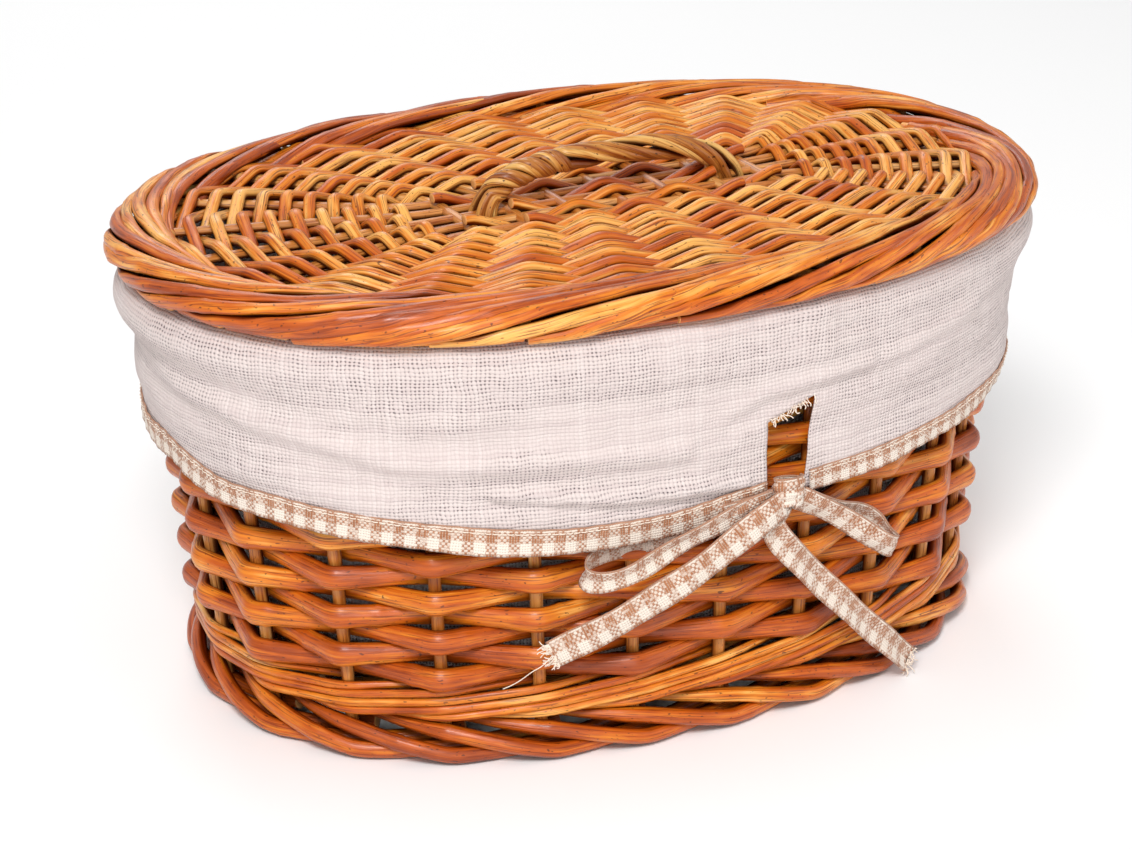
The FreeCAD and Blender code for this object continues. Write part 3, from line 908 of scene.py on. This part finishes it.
def solid_sheet(name, node, slot, grid, cloth, material, skip=None, closed=False):
    """Closed sheet in place of a CAD node: a grid of points, thickened both ways.

    cloth is each point's position on the flat cloth. skip(row, column) leaves faces out, and closed joins
    the last column but one to the first.
    """
    rows, columns = grid.shape[:2]
    faces = []
    for row in range(rows - 1):
        for column in range(columns - 1):
            if skip is not None and skip(row, column):
                continue
            after = 0 if closed and column == columns - 2 else column + 1
            here, below = row * columns, (row + 1) * columns
            faces.append((here + column, below + column, below + after, here + after))
    thread = np.stack([np.broadcast_to(measure, (rows, columns)) for measure in (*cloth, 0.0)], -1)
    used = np.zeros(rows * columns, bool)
    used[np.array(faces).ravel()] = True
    number = np.cumsum(used) - 1
    obj = make_mesh(name, grid.reshape(-1, 3)[used], number[np.array(faces)].tolist(), material)
    set_attribute(obj, "thread", thread.reshape(-1, 3)[used])
    thicken = obj.modifiers.new("thicken", "SOLIDIFY")
    thicken.thickness = CLOTH
    thicken.offset = 0.0
    thicken.use_even_offset = False
    view = bpy.context.evaluated_depsgraph_get()
    mesh = bpy.data.meshes.new_from_object(obj.evaluated_get(view))
    obj.modifiers.clear()
    obj.data = mesh
    place(obj, "basket", slot, node)
    return obj


def notch_top(x):
    """Height of the slit's ragged top edge."""
    return (140.5 + 7.5 * np.clip((x - NOTCH_LEFT) / (NOTCH_RIGHT - NOTCH_LEFT), -0.3, 1.3)) * MM


def make_cuff():
    """Cuff folded out over the rim. Its grid starts and ends at the middle of the back."""
    left, right = share_at(NOTCH_LEFT * MM), share_at(NOTCH_RIGHT * MM)
    side_columns, slit_columns = 270, 12
    spans = ((0.25, left, side_columns), (left, right, slit_columns), (right, 1.25, side_columns))
    shares = np.concatenate([[0.25], *(np.linspace(*span)[1:] for span in spans)])
    middle = wall(shares, 0.13, 0)
    x = middle[:, 0] / MM
    near_slit = np.where(middle[:, 1] < 0, np.exp(-((x - 22) / 28) ** 4), 0.0)
    top = 144 * MM + (notch_top(x) - 144 * MM) * near_slit
    hem = hem_height(shares) + 1.2 * MM
    over = np.array([(-12.9, 178.5), (-12.8, 183), (-12.3, 186.2), (-10.6, 188.3), (-7, 189.0), (-2, 189.1),
                     (4, 189.0), (8.5, 188.7), (11.3, 187.4), (12.5, 185), (12.9, 182)])    # offset, z in mm
    grid, cloth = [], []
    for (offset, z), down in zip(over, distances(over) * MM):
        swell = 0.35 * MM * crumple(wall(shares, z * MM, 0), 8, 6, 0.02, 0.06)
        outside = min(1, max(0, (offset - 4) / 8))
        grid.append(wall(shares, z * MM, offset * MM + (swell + puff(shares, z * MM)) * outside))
        cloth.append(np.full(len(shares), down))
    top_z = over[-1][1] * MM
    parts = 20
    for high, low in ((top_z, top), (top, hem)):
        for step in range(1, parts + 1):
            z = high + (low - high) * step / parts
            grid.append(wall(shares, z, cuff_offset(shares, z)))
            cloth.append(down + top_z - z)
    grid, cloth = np.array(grid), np.array(cloth)
    lean = np.where(middle[:, 1] < 0, np.exp(-((x - NOTCH_RIGHT) / 12) ** 2), 0.0)
    grid[..., 0] += lean * (grid[..., 2] - 133 * MM) * 0.1
    first_open = len(over) + parts - 1
    slit = range(side_columns - 1, side_columns + slit_columns - 2)
    cuff = solid_sheet("liner_cuff_cloth", "liner_cuff", "linen", grid, (shares * WALL.length, cloth), LINEN,
                       skip=lambda row, column: row >= first_open and column in slit)
    depth = float(np.mean(cloth[-1]))


def make_liner():
    shares = np.linspace(0.25, 1.25, 361)
    heights = np.linspace(35.9 * MM, 186 * MM, 76)
    s, z = np.meshgrid(shares, heights)
    wrinkle = crumple(wall(s, z, 0), 15, 9, 0.02, 0.10, 2.0)
    deep = np.clip(np.minimum(z - 36 * MM, 186 * MM - z) / (20 * MM), 0, 1)
    grid = wall(s, z, (-12.6 - 0.8 * deep * (1 + wrinkle)) * MM)
    side = solid_sheet("liner_side_cloth", "liner_side", "linen", grid, (s * WALL.length, z), LINEN_LIGHTENED)
    radii = np.linspace(0.002, 1.0, 46)
    s, r = np.meshgrid(shares, radii)
    edge = wall(s, 36.6 * MM, -13.5 * MM)
    grid = edge.copy()
    grid[..., :2] *= r[..., None]
    lift = 0.55 * MM * (1 + crumple(grid, 16, 10, 0.025, 0.12, 0.8)) * np.clip((1 - r) * 6, 0, 1)
    grid[..., 2] = 36.5 * MM + lift
    cloth = (grid[..., 0], grid[..., 1])
    bottom = solid_sheet("liner_bottom_cloth", "liner_bottom", "linen", grid, cloth, LINEN_LIGHTENED, closed=True)
    size = wall_half(36.6 * MM) - 13.5 * MM


def ribbon(name, node, line, across, width, curl, columns=9):
    """Tape along a line, and its length. across points to its upper edge; curl lifts its face."""
    tangent = unit(np.gradient(line, axis=0))
    across = np.broadcast_to(across, line.shape)
    across = unit(across - tangent * np.sum(across * tangent, axis=1, keepdims=True))
    along = distances(line)
    place_across = np.linspace(-0.5, 0.5, columns)
    bulge = curl(along[:, None], place_across[None])
    width = np.broadcast_to(width, (len(line),))
    grid = (line[:, None] + across[:, None] * (place_across[None] * width[:, None])[..., None]
            + np.cross(across, tangent)[:, None] * bulge[..., None])
    cloth = (along[:, None], (place_across + 0.5) * TAPE_WIDTH)
    return solid_sheet(name, node, "gingham", grid, cloth, GINGHAM), along[-1]


def smooth_line(stops, count=80):
    """Smooth curve through stops, evenly divided."""
    stops = np.array(stops, float)
    padded = np.concatenate([[2 * stops[0] - stops[1]], stops, [2 * stops[-1] - stops[-2]]])
    points = []
    for k in range(len(stops) - 1):
        a, b, c, d = padded[k:k + 4]
        for t in np.linspace(0, 1, 24, endpoint=False):
            points.append(0.5 * (2 * b + (c - a) * t + (2 * a - 5 * b + 4 * c - d) * t ** 2
                                 + (3 * b - a - 3 * c + d) * t ** 3))
    return evenly(np.array(points + [stops[-1]]), count)


def on_front(stops):
    """Points in front of the wall from (x, z, offset) stops in mm."""
    return np.array([wall(share_at(x * MM), z * MM, offset * MM) for x, z, offset in stops])


def make_hem_tape():
    left, right = share_at(NOTCH_LEFT * MM), share_at(NOTCH_RIGHT * MM)
    shares = np.linspace(right, left + 1.0, 640)
    low = hem_height(shares)
    width = TAPE_WIDTH - 2.0 * MM * np.interp(shares, [1.0, 1.12], [1.0, 0.0])   # narrower right of the slit
    middle = low + width / 2
    offset = cuff_offset(shares, middle) + 1.0 * MM
    line = wall(shares, middle, offset)
    up = wall(shares, middle + 4 * MM, cuff_offset(shares, middle + 4 * MM)) - wall(
        shares, middle - 4 * MM, cuff_offset(shares, middle - 4 * MM))

    def pucker(along, across):
        return 0.22 * MM * np.sin(2 * math.pi * along / (9.3 * MM) + 3 * across) * (0.4 + across ** 2 * 3)

    tape, length = ribbon("hem_tape_cloth", "hem_tape", line, up, width, pucker)
    stitches = Strands(301)
    along, out = distances(line), outward(line)
    seam = line + unit(up) * (width / 2 - 1.9 * MM)[:, None]
    here = 2 * MM
    while here < length - 4 * MM:
        t = here + np.linspace(0, 2.1 * MM, 4)
        seat = np.array([0.1, 0.45, 0.45, 0.1]) * MM
        path = points_at(t, along, seam) + points_at(t, along, out) * (seat + 0.35 * MM)[:, None]
        stitches.add(path, outward(path), 0.24 * MM, 0.2 * MM, 0.5, 5, False, rough=0.0)
        here += 3.0 * MM
    stitches.make("hem_stitches", "basket", "gingham", COTTON)


def loop_line(root, tip, open_by, count=90):
    """A flattened loop from root out to tip and back; open_by is the vector across its widest gap."""
    t = np.linspace(0, 1, count)
    out = np.sin(math.pi * t) ** 0.85
    gap = np.sin(2 * math.pi * t) * (0.35 + 0.65 * np.sin(math.pi * t))
    sag = np.sin(math.pi * out / 2)
    return root + (tip - root) * out[:, None] + open_by * gap[:, None] * 0.5 * sag[:, None]


def make_bow():
    def crease(along, across):
        ripple = np.sin(along / (6.5 * MM) + 2.2 * across)
        return 0.6 * MM * np.cos(2 * math.pi * across) + 0.7 * MM * ripple

    # flat teardrops whose tape stands partly out from the wall
    loops = [("bow_loop_left", [(13, 108, 17.5), (-66, 88, 17.5)], 0.20, [0.12, 0.0, 0.93], 20 * MM),
             ("bow_loop_right", [(25, 106, 17.5), (75, 73, 17.5)], 0.30, [-0.1, 0.0, 0.92], 23 * MM)]
    wide = 10.6 * MM
    for node, stops, stand_out, up, gap in loops:
        root, tip = on_front(stops)
        across = outward(tip[None])[0] * stand_out + np.array(up)
        opening = unit(np.cross(tip - root, across))
        opening *= np.sign(opening[2])
        loop, length = ribbon(node + "_tape", node, loop_line(root, tip, opening * gap), across, wide, crease)
    left = [(17, 106, 20), (5, 101, 22), (-18, 87, 22), (-49, 69, 19.5), (-79, 54, 17)]
    right = [(16, 105, 20), (13, 94, 20.5), (35, 67, 18), (64, 36, 17), (93, 7, 17)]
    ends = []
    for node, wide, stops in (("bow_tail_left", 12.2 * MM, left), ("bow_tail_right", 12.0 * MM, right)):
        line = smooth_line(on_front(stops), 110)
        out = outward(line)
        across = unit(np.cross(out, np.gradient(line, axis=0)))
        across *= np.sign(across[:, 2].mean())
        across = across - out * 0.15
        tail, length = ribbon(node + "_tape", node, line, across, wide, crease)
        ends.append((line, across))
    make_knot()
    make_frays(ends)


def make_knot():
    """Tape wrapped once and a bit round the roots of the loops."""
    centre = on_front([(20, 109.5, 17.5)])[0]
    out = outward(centre[None])[0]
    level = np.cross([0, 0, 1], out)
    turn = np.linspace(0, 2 * math.pi * 1.2, 90)
    swell = 1 + 0.06 * turn / turn[-1]
    axis = unit(np.array([0.12, 0, 1.0]))
    sideways, deep = 6.3 * MM * np.cos(turn) * swell, 3.6 * MM * np.sin(turn) * swell
    climb = 1.2 * MM * np.sin(turn * 0.8)
    line = centre + level * sideways[:, None] + out * deep[:, None] + axis * climb[:, None]

    def rumple(along, across):
        folds = np.cos(6 * math.pi * across + along / (6 * MM))
        return 0.9 * MM * (0.25 - across ** 2) * 2 + 0.45 * MM * folds

    knot, length = ribbon("bow_knot_tape", "bow_knot", line, axis, 12.5 * MM, rumple, columns=17)


def make_frays(ends):
    """Loose threads at the tails' ends and along the ragged top of the slit."""
    frays = Strands(401)
    rng = frays.rng

    def loose(start, way, length, curl):
        points = [np.array(start)]
        for _ in range(7):
            way = unit(way + np.array([rng.gauss(0, curl) for _ in range(3)]))
            points.append(points[-1] + way * length / 7)
        path = smooth_line(points, 16)
        frays.add(path, (0.1, -1, 0.05), 0.22 * MM, 0.22 * MM, 0.5, 5, False, rough=0.0)

    for line, across in ends:
        end, way, side = line[-1], unit(line[-1] - line[-3]), unit(across[-1])
        for _ in range(34):
            start = end + side * rng.uniform(-5.4, 5.4) * MM - way * 0.8 * MM
            loose(start, way + side * rng.uniform(-0.5, 0.5), rng.uniform(1.5, 6) * MM, 0.22)
    left_end, way = ends[0][0][-1], np.array([-0.9, -0.1, -0.55])
    loose(left_end, way, 24 * MM, 0.10)
    for _ in range(46):
        x = rng.uniform(NOTCH_LEFT + 0.5, NOTCH_RIGHT + 1.0)
        z = float(notch_top(x))
        share = share_at(x * MM)
        start = wall(share, z + 0.5 * MM, cuff_offset(share, z))
        loose(start, (rng.uniform(-0.6, 0.6), -0.3, -0.8), rng.uniform(1.5, 5.5) * MM, 0.4)
    frays.make("frayed_threads", "basket", "gingham", COTTON)


# ================================================================ the whole scene
for make in (make_camera, make_stage, make_stakes, make_rows, make_wale, make_foot, make_rim, make_base,
             make_lid, make_handle, make_cuff, make_liner, make_hem_tape, make_bow):
    make()
